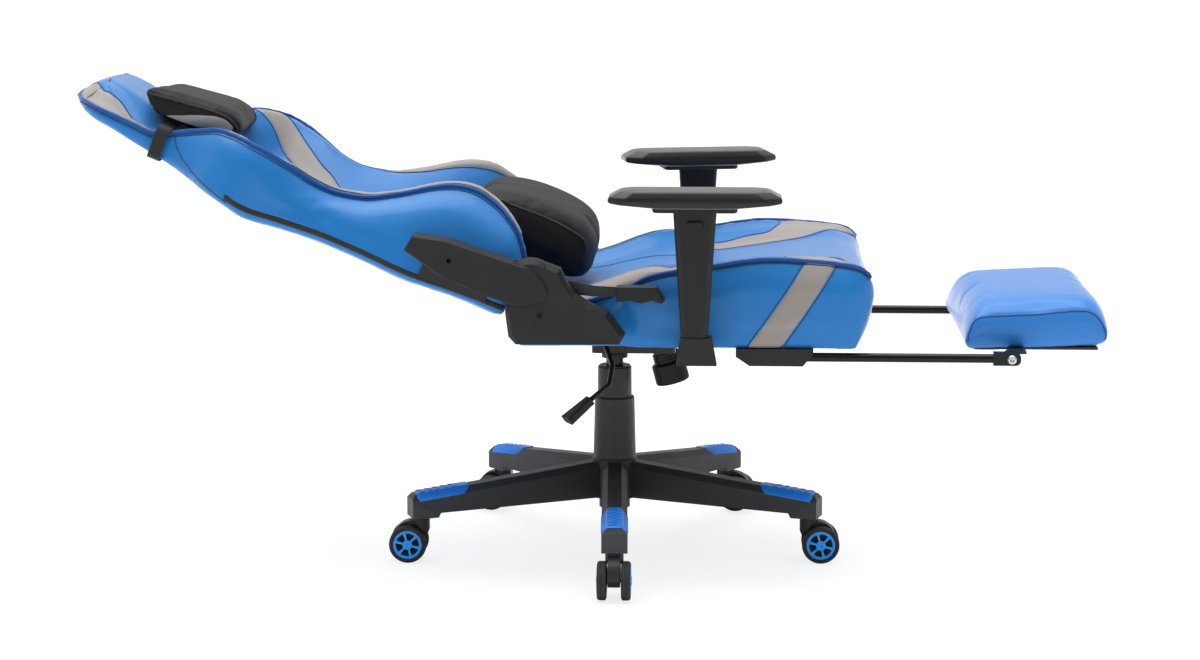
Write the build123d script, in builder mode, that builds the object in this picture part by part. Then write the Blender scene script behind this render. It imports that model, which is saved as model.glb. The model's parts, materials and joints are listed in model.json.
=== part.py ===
"""Racing-style gaming chair with a reclining back, a slide-out footrest, height-adjustable armrests,
a tilt mechanism and a five-arm castor base.

Millimetres: +X is the way the sitter faces, +Y is the sitter's left, +Z is up, and the origin is on the
floor under the gas lift. At rest the back is fully reclined and the footrest is pulled out.
"""

import os
from math import cos, radians, sin

from build123d import *

os.makedirs("parts", exist_ok=True)

# ---------------------------------------------------------------- driving dimensions
castor_circle = 326.0  # radius from the lift axis to each castor's swivel axis
base_turn = 2.1  # the base stands turned this far from the seat, in degrees
arm_angles = [-90 + base_turn + 72 * i for i in range(5)]
castor_angles = [-90, 0, -8, 172, 180]  # where each castor trails to, from +X toward +Y
hub_radius, hub_bottom, hub_top = 36.0, 84.0, 150.0
column_bottom = 66.0
base_arm_half = 20.0
socket_z = 71.5  # underside of the arm's end, where the castor swivels
wheel_radius, wheel_inner, wheel_width, castor_trail = 30.0, 11.0, 14.5, 19.0
axle_radius = 3.0

column_radius, column_top = 25.0, 300.0
cylinder_radius, cylinder_top = 14.0, 337.0

seat_bottom, ridge_z = 370.5, 507.0
seat_half_width = 250.0
recline_rest = 22.0  # angle of the back above the horizontal at rest
hinge_x, hinge_z = -117.0, 472.0
back_half_width = 245.0  # at the hips
plate_y = 247.0  # inner face of the recliner's moving plate

arm_x, arm_y = 131.0, 297.0  # centre of the armrest post
sleeve_bottom, sleeve_top = 397.0, 588.0
left_pad_angle = 12.0  # the left pad is swivelled outward at rest

rail_y, rail_z, rail_radius = 233.0, 356.0, 7.0
footrest_x = 614.0  # the footrest's flip axis
pad_half_width = 198.0
tilt_x, tilt_z = 45.0, 352.0
knob_tilt = 15.0
plate_z = 365.5  # underside of the seat plate
running_gap = 0.3

MIN_Z = (Align.CENTER, Align.CENTER, Align.MIN)
side = Plane(origin=(0, 0, 0), x_dir=(1, 0, 0), z_dir=(0, -1, 0))  # local x, y are X, Z
recline = radians(recline_rest)
back_u = (-cos(recline), 0, sin(recline))
back_v = (sin(recline), 0, cos(recline))
hinge = (hinge_x, 0, hinge_z)
back_side = Plane(origin=hinge, x_dir=back_u, z_dir=(0, 1, 0))  # local u, v; z toward the left
back_front = Plane(origin=hinge, x_dir=back_u, z_dir=back_v)  # local u, -y; z out of the back's face


def polygon(*points):
    """Adds a closed straight-sided face to the current sketch."""
    Polygon(*points, align=None)


def save(piece, name):
    """Labels one sub-part and writes its STEP file."""
    piece.part.label = name
    export_step(piece.part, f"parts/{name}.step")


# ================================================================ base and castors
with BuildPart() as base_arm:  # one arm along +X, before its socket is drilled
    arm_tip = castor_circle + 17
    with BuildSketch(Plane.XZ):
        polygon(
            (20, 146), (arm_tip - 5, 109), (arm_tip, 102), (arm_tip, socket_z),
            (arm_tip - 42, socket_z), (arm_tip - 46, 79), (20, 86),
        )
    extrude(amount=base_arm_half, both=True)
    chamfer(base_arm.edges().filter_by(lambda e: e.length > 250).group_by(Axis.Z)[-1], 9)
    for rib_start in (48, 112, 176, 240):  # pockets between the ribs underneath
        with BuildSketch(Plane.XZ):
            polygon((rib_start, 60), (rib_start + 56, 60), (rib_start + 56, 100), (rib_start, 108))
        extrude(amount=base_arm_half - 5, both=True, mode=Mode.SUBTRACT)

with BuildPart() as star_base:
    with BuildSketch(Plane.XZ):
        polygon(
            (0, hub_bottom), (hub_radius + 2, hub_bottom), (hub_radius + 2, 94),
            (hub_radius, hub_top - 4), (hub_radius - 3, hub_top), (0, hub_top),
        )
    revolve(axis=Axis.Z)
    for arm_angle in arm_angles:
        with PolarLocations(0, 1, start_angle=arm_angle):
            add(base_arm.part)
        with PolarLocations(castor_circle, 1, start_angle=arm_angle):
            Cylinder(5.5, socket_z + 20, align=MIN_Z, mode=Mode.SUBTRACT)
    Cylinder(column_radius, 2 * hub_top, mode=Mode.SUBTRACT)
save(star_base, "star_base")

with BuildPart() as arm_insert:  # coloured saddle over the end of the +X arm
    insert_slope = (146 - 109) / (arm_tip - 5 - 20)
    insert_inner, insert_outer, insert_thickness = 250.0, arm_tip - 9, 2.0
    insert_low = 146 - insert_slope * (insert_inner - 20)
    insert_high = 146 - insert_slope * (insert_outer - 20)
    with BuildSketch(Plane.XZ):
        polygon(
            (insert_inner, insert_low), (insert_outer, insert_high),
            (insert_outer, insert_high + insert_thickness), (insert_inner, insert_low + insert_thickness),
        )
    extrude(amount=base_arm_half - 9.5, both=True)
with BuildPart() as base_inserts:
    for arm_angle in arm_angles:
        with PolarLocations(0, 1, start_angle=arm_angle):
            add(arm_insert.part)
save(base_inserts, "base_inserts")

with BuildPart() as castor_stem:  # swivel axis at the origin
    with BuildSketch(Plane.XZ):
        polygon(
            (0, 58), (4, 58), (4, 69.5), (8, 69.5), (8, socket_z), (5.5, socket_z), (5.5, 88), (4, 91),
            (0, 91),
        )
    revolve(axis=Axis.Z)
with BuildPart() as castor_stems:
    for arm_angle in arm_angles:
        with PolarLocations(castor_circle, 1, start_angle=arm_angle):
            add(castor_stem.part)
save(castor_stems, "castor_stems")

with BuildPart() as castor_hood:  # swivel axis at the origin, trailing along +X
    with BuildSketch(Plane.XZ):
        with BuildLine():
            Polyline((-14, 69.2), (-14, 50), (-4, 28), (8, 22), (30, 22), (42, 34))
            ThreePointArc((42, 34), (34, 58), (14, 66))
            Polyline((14, 66), (14, 69.2), (-14, 69.2))
        make_face()
    extrude(amount=wheel_inner - 1.5, both=True)
    with Locations((0, 0, 50)):
        Cylinder(14, 19.2, align=MIN_Z)
    for y in (-1, 1):  # room for the wheels beside the web
        with BuildSketch(Plane.XZ.offset(y * (wheel_inner - 1.5))):
            with Locations((castor_trail, wheel_radius)):
                Circle(wheel_radius + 1.5)
        extrude(amount=y * 20, mode=Mode.SUBTRACT)
    with Locations((0, 0, 57.5)):
        Cylinder(4.05, 20, align=MIN_Z, mode=Mode.SUBTRACT)
    with Locations((castor_trail, 0, wheel_radius)):
        Cylinder(axle_radius + 0.05, 60, rotation=(90, 0, 0), mode=Mode.SUBTRACT)

with BuildPart() as castor_axle:
    with Locations((castor_trail, 0, wheel_radius)):
        Cylinder(axle_radius, 2 * (wheel_inner + wheel_width) - 5, rotation=(90, 0, 0))

with BuildPart() as castor_wheel:  # the wheel on the +Y side of a castor
    with BuildSketch(Plane.XZ.offset(-wheel_inner)):
        with Locations((castor_trail, wheel_radius)):
            Circle(wheel_radius)
    extrude(amount=-wheel_width)
    chamfer(castor_wheel.edges().filter_by(GeomType.CIRCLE), 1.5)
    with Locations((castor_trail, wheel_inner - 1, wheel_radius)):
        Cylinder(
            axle_radius + 0.05, wheel_width - 1.5, rotation=(-90, 0, 0), align=MIN_Z, mode=Mode.SUBTRACT
        )

for index, (arm_angle, trail_angle) in enumerate(zip(arm_angles, castor_angles)):
    swivel_x = castor_circle * cos(radians(arm_angle))
    swivel_y = castor_circle * sin(radians(arm_angle))
    centre = Location((swivel_x, swivel_y, 0), (0, 0, trail_angle))
    with BuildPart() as hood:
        with Locations(centre):
            add(castor_hood.part)
            add(castor_axle.part)
    save(hood, f"castor_hood_{index}")
    with BuildPart() as left_wheel:
        with Locations(centre):
            add(castor_wheel.part)
    save(left_wheel, f"castor_{index}_wheel_left")
    with BuildPart() as right_wheel:
        with Locations(centre):
            add(mirror(castor_wheel.part, about=Plane.XZ, mode=Mode.PRIVATE))
    save(right_wheel, f"castor_{index}_wheel_right")

# ================================================================ gas lift
with BuildPart() as lift_column:
    with BuildSketch(Plane.XY.offset(column_bottom)):
        Circle(column_radius)
        Circle(cylinder_radius + 0.05, mode=Mode.SUBTRACT)
    extrude(amount=column_top - column_bottom)
save(lift_column, "lift_column")

with BuildPart() as lift_cover:  # two telescoping sleeves that hide the column
    for low, high, low_radius, high_radius in ((hub_top, 249, 34.5, 32), (249, 299, 27.6, 27.2)):
        with BuildSketch(Plane.XZ):
            polygon(
                (column_radius + 0.2, low + 0.2), (low_radius, low + 0.2), (high_radius, high - 2),
                (high_radius - 2, high), (column_radius + 0.2, high),
            )
        revolve(axis=Axis.Z)
save(lift_cover, "lift_cover")

rod_radius, bearing_z = 5.0, 100.0
with BuildPart() as piston_rod:
    with Locations((0, 0, column_bottom)):
        Cylinder(rod_radius, 190, align=MIN_Z)
        Cylinder(12, 5, align=MIN_Z)
save(piston_rod, "piston_rod")

with BuildPart() as gas_cylinder:
    with Locations((0, 0, bearing_z)):
        Cylinder(cylinder_radius, cylinder_top - bearing_z, align=MIN_Z)
        Cylinder(rod_radius + 0.05, 60, align=MIN_Z, mode=Mode.SUBTRACT)
    with Locations((0, 0, bearing_z + 30)):
        Cylinder(11, 180, align=MIN_Z, mode=Mode.SUBTRACT)
    with Locations((0, 0, cylinder_top - 12)):
        Cylinder(4.05, 20, align=MIN_Z, mode=Mode.SUBTRACT)
save(gas_cylinder, "gas_cylinder")

with BuildPart() as release_pin:
    with Locations((0, 0, cylinder_top - 6)):
        Cylinder(4, 12, align=MIN_Z)
save(release_pin, "release_pin")

with BuildPart() as lift_collar:  # stepped plastic cone under the tilt housing
    with BuildSketch(Plane.XZ):
        polygon(
            (cylinder_radius, 313), (21, 313), (21, 320), (18, 321), (16, 327.8), (cylinder_radius, 327.8)
        )
    revolve(axis=Axis.Z)
save(lift_collar, "lift_collar")

# ================================================================ tilt mechanism
housing_rear, housing_front, housing_half = -35.0, 99.0, 55.0
housing_bottom, housing_wall = 328.0, 3.0
with BuildPart() as tilt_housing:  # open pressed tray held on the gas cylinder
    with BuildSketch(side):
        polygon(
            (housing_rear, housing_bottom), (housing_front, housing_bottom), (housing_front, 350),
            (60, 359), (30, 359), (housing_rear, 344),
        )
    extrude(amount=housing_half, both=True)
    fillet(tilt_housing.edges().filter_by(Axis.Z), 8)
    with BuildSketch(side):
        polygon(
            (housing_rear + 3, housing_bottom + 3), (housing_front - 3, housing_bottom + 3),
            (housing_front - 3, 370), (housing_rear + 3, 370),
        )
    extrude(amount=housing_half - housing_wall, both=True, mode=Mode.SUBTRACT)
    with Locations((0, 0, housing_bottom)):
        Cylinder(22, 10, align=MIN_Z)
        Cylinder(cylinder_radius, 20, align=MIN_Z, mode=Mode.SUBTRACT)
    with Locations((tilt_x, 0, tilt_z)):
        Cylinder(4, 2 * housing_half, rotation=(90, 0, 0), mode=Mode.SUBTRACT)
    with Locations((-14, -housing_half, 347)):  # the gas lever's slot in the right wall
        Box(14, 20, 12, mode=Mode.SUBTRACT)
with BuildPart() as tilt_pin:
    with Locations((tilt_x, 0, tilt_z)):
        Cylinder(3.95, 2 * housing_half + 8, rotation=(90, 0, 0))
with BuildPart() as tilt_housing_set:
    add(tilt_housing.part)
    add(tilt_pin.part)
save(tilt_housing_set, "tilt_housing")

knob_radius = 27.5
knob_axis = Plane(
    origin=(80, 0, housing_bottom),
    x_dir=(cos(radians(knob_tilt)), 0, sin(radians(knob_tilt))),
    z_dir=(sin(radians(knob_tilt)), 0, -cos(radians(knob_tilt))),
)  # local z runs down the tension bolt
with BuildPart() as spring_cover:  # ribbed cover over the tension spring
    with BuildSketch(knob_axis.offset(6)):
        Circle(20)
    extrude(amount=17)
    for ring in range(3):
        with BuildSketch(knob_axis.offset(8 + 5 * ring)):
            Circle(22)
        extrude(amount=2.5)
    with BuildSketch(knob_axis.offset(-4)):
        Circle(4.5)
    extrude(amount=40, mode=Mode.SUBTRACT)
    with Locations((housing_front / 2, 0, housing_bottom)):
        Box(200, 100, 60, align=MIN_Z, mode=Mode.SUBTRACT)
save(spring_cover, "spring_cover")

with BuildPart() as tension_knob:
    with BuildSketch(knob_axis.offset(23.5)):
        Circle(knob_radius)
    extrude(amount=34)
    fillet(tension_knob.edges().filter_by(GeomType.CIRCLE), 4)
    with BuildSketch(knob_axis.offset(23.5)):  # finger flutes
        with PolarLocations(knob_radius + 1, 30):
            Circle(1.6)
    extrude(amount=40, mode=Mode.SUBTRACT)
    with BuildSketch(knob_axis.offset(2)):
        Circle(4.2)
    extrude(amount=22)
save(tension_knob, "tension_knob")

lever_x, lever_z = -14.0, 347.5
lever_tip = (-30, -172, 276)
with BuildPart() as gas_lever_rod:
    with BuildLine() as lever_path:
        FilletPolyline(
            (lever_x, 2, lever_z), (lever_x, -69, lever_z), (1, -128, 322), (-3, -150, 295), lever_tip,
            radius=9,
        )
    with BuildSketch(Plane(origin=(lever_x, 2, lever_z), z_dir=(0, -1, 0))):
        Circle(4)
    sweep()
    with Locations((lever_x, 3 - housing_half, lever_z)):  # barrel on the lever's hinge axis
        Cylinder(4.6, 10, rotation=(0, 90, 0))
save(gas_lever_rod, "gas_lever_rod")

lever_grip_plane = Plane(origin=lever_tip, x_dir=(0.45, -0.89, 0), z_dir=(-0.72, -0.36, -0.59))
with BuildPart() as gas_lever_grip:  # flat paddle
    with BuildSketch(lever_grip_plane.offset(2)):
        RectangleRounded(18, 13, 3)
    with BuildSketch(lever_grip_plane.offset(52)):
        RectangleRounded(30, 13, 3)
    loft()
save(gas_lever_grip, "gas_lever_grip")

with BuildPart() as seat_plate:
    with BuildSketch(Plane.XY.offset(plate_z)):
        with Locations((30, 0)):
            RectangleRounded(180, 170, 12)
        with Locations((30, 0)):
            with GridLocations(156, 146, 2, 2):
                Circle(4.1, mode=Mode.SUBTRACT)
    extrude(amount=seat_bottom - 1.5 - plate_z)
    for ear in (-1, 1):
        with BuildSketch(side.offset(ear * 46)):
            polygon((tilt_x - 25, plate_z), (tilt_x + 25, plate_z), (tilt_x + 9, 343), (tilt_x - 9, 343))
        extrude(amount=ear * 4)
    with Locations((tilt_x, 0, tilt_z)):
        Cylinder(4.0, 120, rotation=(90, 0, 0), mode=Mode.SUBTRACT)
save(seat_plate, "seat_plate")

with BuildPart() as seat_bolts:
    with Locations((30, 0, 0)):
        with GridLocations(156, 146, 2, 2):
            Cylinder(4, seat_bottom + 12, align=MIN_Z)
            Cylinder(7, plate_z, align=MIN_Z)
    with Locations((30, 0, 0)):
        Box(300, 300, 2 * (plate_z - 5), mode=Mode.SUBTRACT)
save(seat_bolts, "seat_bolts")

# ================================================================ seat
bar_width, bar_depth = 25.0, 12.0
recliner_foot_z = seat_bottom + bar_depth  # the recliners' feet lie on the frame's side bars
recliner_foot = (110, 60, 4.5)
with BuildPart() as seat_frame:  # welded flat bars under the cushion
    with BuildSketch(Plane.XY.offset(seat_bottom)):
        with Locations((117, 0)):
            Rectangle(500, 440)
            Rectangle(500 - 2 * bar_width, 440 - 2 * bar_width, mode=Mode.SUBTRACT)
        with Locations((-48, 0), (108, 0), (131, 0)):
            Rectangle(bar_width, 420)
        with Locations((30, 0)):
            with GridLocations(156, 146, 2, 2):
                Circle(4.05, mode=Mode.SUBTRACT)
    extrude(amount=bar_depth)
save(seat_frame, "seat_frame")

with BuildPart() as seat_cushion:
    with BuildSketch(side):
        with BuildLine():
            Polyline((-145, 432), (-145, seat_bottom), (372, seat_bottom), (392, 380), (404, 420), (409, 470))
            Spline((409, 470), (398, 490), (345, 502), (241, ridge_z), (150, 498), (59, 477), (-20, 446))
            Polyline((-20, 446), (-60, 436), (-145, 432))
        make_face()
    extrude(amount=seat_half_width, both=True)
    channel = [(-150, 428), (-40, 432), (20, 446), (90, 464), (160, 477), (300, 491), (420, 494)]
    for half_width, rise in ((105, 0), (150, 9)):
        with BuildSketch(side):
            polygon(*[(x, z + rise) for x, z in channel], (420, 540), (-150, 540))
        extrude(amount=half_width, both=True, mode=Mode.SUBTRACT)
    for flank in (-1, 1):  # the rear flanks stand back for the recliners
        with Locations((-75, flank * (seat_half_width + 0.5), 440)):
            Box(210, 11, 160, mode=Mode.SUBTRACT)
    for flank in (-1, 1):  # slots for the recliners' feet
        with Locations((-75, flank * 225.3, recliner_foot_z)):
            Box(*recliner_foot, align=MIN_Z, mode=Mode.SUBTRACT)
    add(seat_frame.part, mode=Mode.SUBTRACT)
    add(seat_bolts.part, mode=Mode.SUBTRACT)
save(seat_cushion, "seat_cushion")

with BuildPart() as footrest_guides:
    for flank in (-1, 1):
        with BuildSketch(side.offset(-flank * (rail_y - 15))):
            polygon((194, seat_bottom), (312, seat_bottom), (312, 362), (296, 344), (215, 344), (194, 358))
        extrude(amount=-flank * 30)
    with Locations((250, 0, rail_z)):
        with GridLocations(10, 2 * rail_y, 1, 2):
            Cylinder(rail_radius + running_gap, 200, rotation=(0, 90, 0), mode=Mode.SUBTRACT)
save(footrest_guides, "footrest_guides")

# ================================================================ recliners and their covers
plate_thickness, knuckle_radius = 4.0, 40.0
fixed_y = plate_y + plate_thickness + running_gap
sync_radius = 5.0
with BuildPart() as fixed_plate:  # right side, bolted under the seat
    with BuildSketch(side.offset(fixed_y)):
        with Locations((hinge_x, hinge_z)):
            Circle(28)
        polygon(
            (-145, hinge_z), (-89, hinge_z), (-40, 430), (-15, recliner_foot_z), (-135, recliner_foot_z)
        )
        with Locations((hinge_x, hinge_z)):
            Circle(sync_radius + running_gap, mode=Mode.SUBTRACT)
    extrude(amount=plate_thickness)
    with Locations((-75, -225.3, recliner_foot_z)):
        Box(*recliner_foot, align=MIN_Z)
with BuildPart() as fixed_recliner_plates:
    add(fixed_plate.part)
    mirror(fixed_plate.part, about=Plane.XZ)
save(fixed_recliner_plates, "fixed_recliner_plates")

with BuildPart() as moving_plate:  # right side, bolted to the back's frame
    with BuildSketch(back_side.offset(-plate_y - plate_thickness)):
        Circle(28)
        polygon((0, -28), (120, -32), (178, -18), (178, -4), (120, 8), (0, 28))
        Circle(sync_radius + running_gap, mode=Mode.SUBTRACT)
    extrude(amount=plate_thickness)
with BuildPart() as moving_recliner_plates:
    add(moving_plate.part)
    mirror(moving_plate.part, about=Plane.XZ)
save(moving_recliner_plates, "moving_recliner_plates")

cover_inner, cover_outer, cover_wall = 262.5, 290.0, 3.0
with BuildPart() as lower_cover:  # right side shell over the recliner, with its chamfered rim
    with BuildSketch(side.offset(cover_inner)) as cover_outline:
        polygon(
            (-140, 381), (17, 382), (26, 397), (0, 432), (-31, 446), (-50, 459), (-62, 476), (-72, 497),
            (-95, 506), (hinge_x, 480), (-150, 452), (-156, 431), (-151, 393),
        )
        with Locations((hinge_x, hinge_z)):
            Circle(knuckle_radius)
    extrude(amount=cover_outer - cover_inner)
    chamfer(lower_cover.faces().sort_by(Axis.Y)[0].edges(), 7)
    with BuildSketch(side.offset(cover_inner)):
        add(cover_outline.sketch_local)
        offset(amount=-9, mode=Mode.REPLACE)
    extrude(amount=cover_outer - cover_inner - cover_wall, mode=Mode.SUBTRACT)
    with BuildSketch(side.offset(fixed_y + plate_thickness)):  # screw boss
        with Locations((-103, 427)):
            Circle(7)
    extrude(amount=cover_outer - fixed_y - plate_thickness - 1)
    with BuildSketch(side.offset(cover_outer)):
        with Locations((-103, 427)):
            Circle(3.5)
    extrude(amount=-6, mode=Mode.SUBTRACT)
with BuildPart() as lower_hinge_covers:
    add(lower_cover.part)
    mirror(lower_cover.part, about=Plane.XZ)
save(lower_hinge_covers, "lower_hinge_covers")

upper_inner, upper_outer = plate_y + plate_thickness, cover_outer + running_gap + 2.7
with BuildPart() as upper_cover:  # right side, its inner end laps over the knuckle
    with BuildSketch(back_side.offset(-upper_outer)):
        with BuildLine():
            Polyline(
                (26, 23), (97, 19), (145, 16), (193, 4), (197, -22), (164, -30), (138, -38), (76, -40),
                (20, -38),
            )
            Spline((20, -38), (-14, -28), (-30, -4), (-8, 19), (26, 23))
        make_face()
    extrude(amount=upper_outer - upper_inner)
    chamfer(upper_cover.faces().sort_by(Axis.Y)[0].edges(), 2.4)
    with BuildSketch(back_side.offset(-cover_outer - running_gap)):
        Circle(knuckle_radius + 1.5)
        polygon((-40, -12), (34, -12), (34, -50), (-40, -50))
    extrude(amount=50, mode=Mode.SUBTRACT)
    with BuildSketch(back_side.offset(-upper_outer)):
        with Locations((128, -11)):
            Circle(3.5)
    extrude(amount=8, mode=Mode.SUBTRACT)
with BuildPart() as upper_hinge_covers:
    add(upper_cover.part)
    mirror(upper_cover.part, about=Plane.XZ)
save(upper_hinge_covers, "upper_hinge_covers")

lever_plate_y = fixed_y + plate_thickness + 0.7
with BuildPart() as recline_shaft:  # lever arm welded to the rod that joins both recliners
    with BuildSketch(side.offset(-plate_y - plate_thickness)):
        with Locations((hinge_x, hinge_z)):
            Circle(sync_radius)
    extrude(amount=plate_y + plate_thickness + lever_plate_y + 4)
    with BuildSketch(side.offset(lever_plate_y)):
        with Locations((hinge_x, hinge_z)):
            Circle(13)
        polygon((hinge_x, 485), (-20, 468), (60, 464), (60, 452), (-20, 452), (hinge_x, 459))
    extrude(amount=4)
save(recline_shaft, "recline_shaft")

with BuildPart() as recline_handle:
    with BuildSketch(side.offset(lever_plate_y + 4)):
        polygon(
            (13, 470), (74, 470), (86, 450), (81, 445), (66, 449), (50, 445), (34, 449), (13, 447),
        )
    extrude(amount=285 - lever_plate_y - 4)
    fillet(recline_handle.faces().sort_by(Axis.Y)[0].edges(), 3)
save(recline_handle, "recline_handle")

# ================================================================ back
bar_y = 204.0  # centre of the frame's side bars
with BuildPart() as back_frame:  # welded flat bars inside the cushion
    with BuildSketch(back_front.offset(-58)):
        for u in (60, 300, 470):
            with Locations((u, 0)):
                Rectangle(bar_width, 2 * (bar_y + bar_width / 2))
        for flank in (-1, 1):
            with Locations((265, flank * bar_y)):
                Rectangle(430, bar_width)
            with Locations((110, flank * (bar_y + plate_y) / 2)):  # feet of the upright lugs
                Rectangle(110, plate_y - bar_y)
    extrude(amount=bar_depth)
    with BuildSketch(back_front.offset(-58)):  # upright lugs that carry the recliners' moving plates
        for flank in (-1, 1):
            with Locations((110, flank * (plate_y - 3))):
                Rectangle(110, 6)
    extrude(amount=54)
save(back_frame, "back_frame")

head_end = 785.0  # the top of the head, measured up the back from the hinge
with BuildPart() as back_cushion:
    with BuildSketch(back_side):
        with BuildLine():
            Polyline((20, -72), (20, 26))
            Spline(
                (20, 26), (43, 55), (86, 83), (133, 95), (183, 81), (227, 51), (283, 17), (345, 3),
                (400, 16), (470, 34), (539, 27), (582, 5), (614, -17), (640, -22),
            )
            Spline((640, -22), (700, -20), (745, -18), (head_end, -25))
            Polyline(
                (head_end, -25), (775, -32), (733, -42), (665, -51), (611, -59), (541, -69), (448, -80),
                (327, -74), (181, -77), (20, -72),
            )
        make_face()
    extrude(amount=back_half_width, both=True)
    with BuildSketch(back_front.offset(-100)):  # the outline seen from the front
        with BuildLine():
            right_edge = Spline(
                (20, -back_half_width), (160, -243), (330, -224), (470, -238), (530, -213), (600, -157),
                (680, -149), (745, -129), (776, -80), (head_end, 0),
            )
            mirror(right_edge, about=Plane.XZ)
            Line((20, -back_half_width), (20, back_half_width))
        make_face()
    extrude(amount=240, mode=Mode.INTERSECT)
    face_line = [(10, -12), (120, -20), (353, -42), (480, -36), (560, -32), (610, -24)]
    for half_width, rise in ((150, 12), (112, 0)):  # the hollow between the wings
        with BuildSketch(back_side):
            polygon(*[(u, v + rise) for u, v in face_line], (610, 130), (10, 130))
        extrude(amount=half_width, both=True, mode=Mode.SUBTRACT)
    add(back_frame.part, mode=Mode.SUBTRACT)
save(back_cushion, "back_cushion")

with BuildPart() as headrest_strap:  # webbing band round the head
    band_low, band_high = 609.0, 629.0
    band_front, band_rear = -8.0, -62.0
    with BuildSketch(Plane(origin=back_side.from_local_coords((band_low, 0, 0)), x_dir=(0, 1, 0), z_dir=back_u)):
        with Locations((0, -(band_front + band_rear) / 2)):
            RectangleRounded(317, band_front - band_rear, 10)
            RectangleRounded(314, band_front - band_rear - 3, 8.5, mode=Mode.SUBTRACT)
    extrude(amount=band_high - band_low)
save(headrest_strap, "headrest_strap")

with BuildPart() as headrest_pillow:
    with BuildSketch(back_side):
        with BuildLine():
            Polyline((512, -3), (650, -3), (672, 32))
            Spline((672, 32), (655, 42), (600, 52), (555, 56), (520, 48), (502, 26), (512, -3))
        make_face()
    extrude(amount=142, both=True)
    fillet(headrest_pillow.edges().filter_by(GeomType.BSPLINE), 6)
save(headrest_pillow, "headrest_pillow")

with BuildPart() as lumbar_pillow:
    with BuildSketch(back_side):
        with BuildLine():
            Polyline((-91, 31), (-75, 7.5), (130, 7.5))
            Spline((130, 7.5), (142, 38), (122, 84), (40, 107), (-58, 96), (-91, 31))
        make_face()
    extrude(amount=147, both=True)
    fillet(lumbar_pillow.edges().filter_by(GeomType.BSPLINE), 8)
save(lumbar_pillow, "lumbar_pillow")

# ================================================================ armrests
arm_bracket_width, column_width, column_depth = 50.0, 36.0, 20.0
bracket_low = seat_bottom - 4.5
with BuildPart() as arm_bracket:  # right side
    with BuildSketch(Plane.XY.offset(bracket_low)):
        with Locations((arm_x, -200)):
            Rectangle(arm_bracket_width, 220)
    extrude(amount=4.5)
with BuildPart() as arm_brackets:
    add(arm_bracket.part)
    mirror(arm_bracket.part, about=Plane.XZ)
save(arm_brackets, "arm_brackets")

with BuildPart() as arm_column:
    with BuildSketch(Plane.XY.offset(seat_bottom)):
        with Locations((arm_x, -arm_y)):
            RectangleRounded(column_width, column_depth, 6)
    extrude(amount=190)
with BuildPart() as arm_columns:
    add(arm_column.part)
    mirror(arm_column.part, about=Plane.XZ)
save(arm_columns, "arm_columns")

with BuildPart() as arm_foot:  # moulded cover over the bracket's end
    with BuildSketch(side.offset(arm_y)):
        polygon((104, 355), (165, 355), (157, sleeve_bottom), (110, sleeve_bottom))
    extrude(amount=18, both=True)
    chamfer(arm_foot.faces().sort_by(Axis.Y)[0].edges(), 3)
    chamfer(arm_foot.faces().sort_by(Axis.Y)[-1].edges(), 3)
    with Locations((arm_x, -arm_y, seat_bottom - 1)):
        Box(column_width + 1, column_depth + 1, 60, align=MIN_Z, mode=Mode.SUBTRACT)
    with Locations((arm_x, -arm_y + 20, bracket_low - 0.5)):
        Box(arm_bracket_width + 1, 70, 6, align=MIN_Z, mode=Mode.SUBTRACT)
with BuildPart() as arm_feet:
    add(arm_foot.part)
    mirror(arm_foot.part, about=Plane.XZ)
save(arm_feet, "arm_feet")

socket_radius = 8.0
button_z, button_height, button_y, button_travel = 571.0, 7.0, 306.0, 3.0
with BuildPart() as arm_sleeve:
    for height, length, depth in ((sleeve_bottom + 1, 41, 28), (sleeve_top, 65, 38)):
        with BuildSketch(Plane.XY.offset(height)):
            with Locations((arm_x, -arm_y)):
                RectangleRounded(length, depth, 8)
    loft(ruled=True)
    with BuildSketch(Plane.XY.offset(sleeve_bottom)):
        with Locations((arm_x, -arm_y)):
            RectangleRounded(column_width + 0.6, column_depth + 0.6, 6)
    extrude(amount=163.5, mode=Mode.SUBTRACT)
    with Locations((arm_x, -arm_y, sleeve_top - 10)):
        Cylinder(socket_radius + 0.05, 20, align=MIN_Z, mode=Mode.SUBTRACT)
    with Locations((arm_x, -button_y - 10, button_z)):
        Box(24.6, 20, button_height + 0.6, mode=Mode.SUBTRACT)
save(arm_sleeve, "arm_sleeve_right")

with BuildPart() as arm_button:
    with Locations((arm_x, -button_y - button_travel - 5.5, button_z)):
        Box(24, 10, button_height)
    fillet(arm_button.faces().sort_by(Axis.Y)[0].edges(), 2)
save(arm_button, "arm_button_right")

carrier_top = sleeve_top + 6.0
with BuildPart() as pad_carrier:
    with BuildSketch(Plane.XY.offset(sleeve_top + running_gap)):
        with Locations((arm_x, -arm_y)):
            RectangleRounded(127, 66, 10)
    extrude(amount=carrier_top - sleeve_top - running_gap)
    chamfer(pad_carrier.edges().group_by(Axis.Z)[0], 2)
    with Locations((arm_x, -arm_y, sleeve_top - 9)):
        Cylinder(socket_radius, 12, align=MIN_Z)
save(pad_carrier, "pad_carrier_right")

pad_top = 620.0
with BuildPart() as arm_pad:
    with BuildSketch(Plane.XY.offset(carrier_top + running_gap)):
        with Locations((arm_x, -arm_y)):
            RectangleRounded(261, 86, 20)
    extrude(amount=pad_top - carrier_top - running_gap)
    chamfer(arm_pad.edges().group_by(Axis.Z)[-1], 8, 16)
    chamfer(arm_pad.edges().group_by(Axis.Z)[0], 4)
save(arm_pad, "arm_pad_right")

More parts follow.
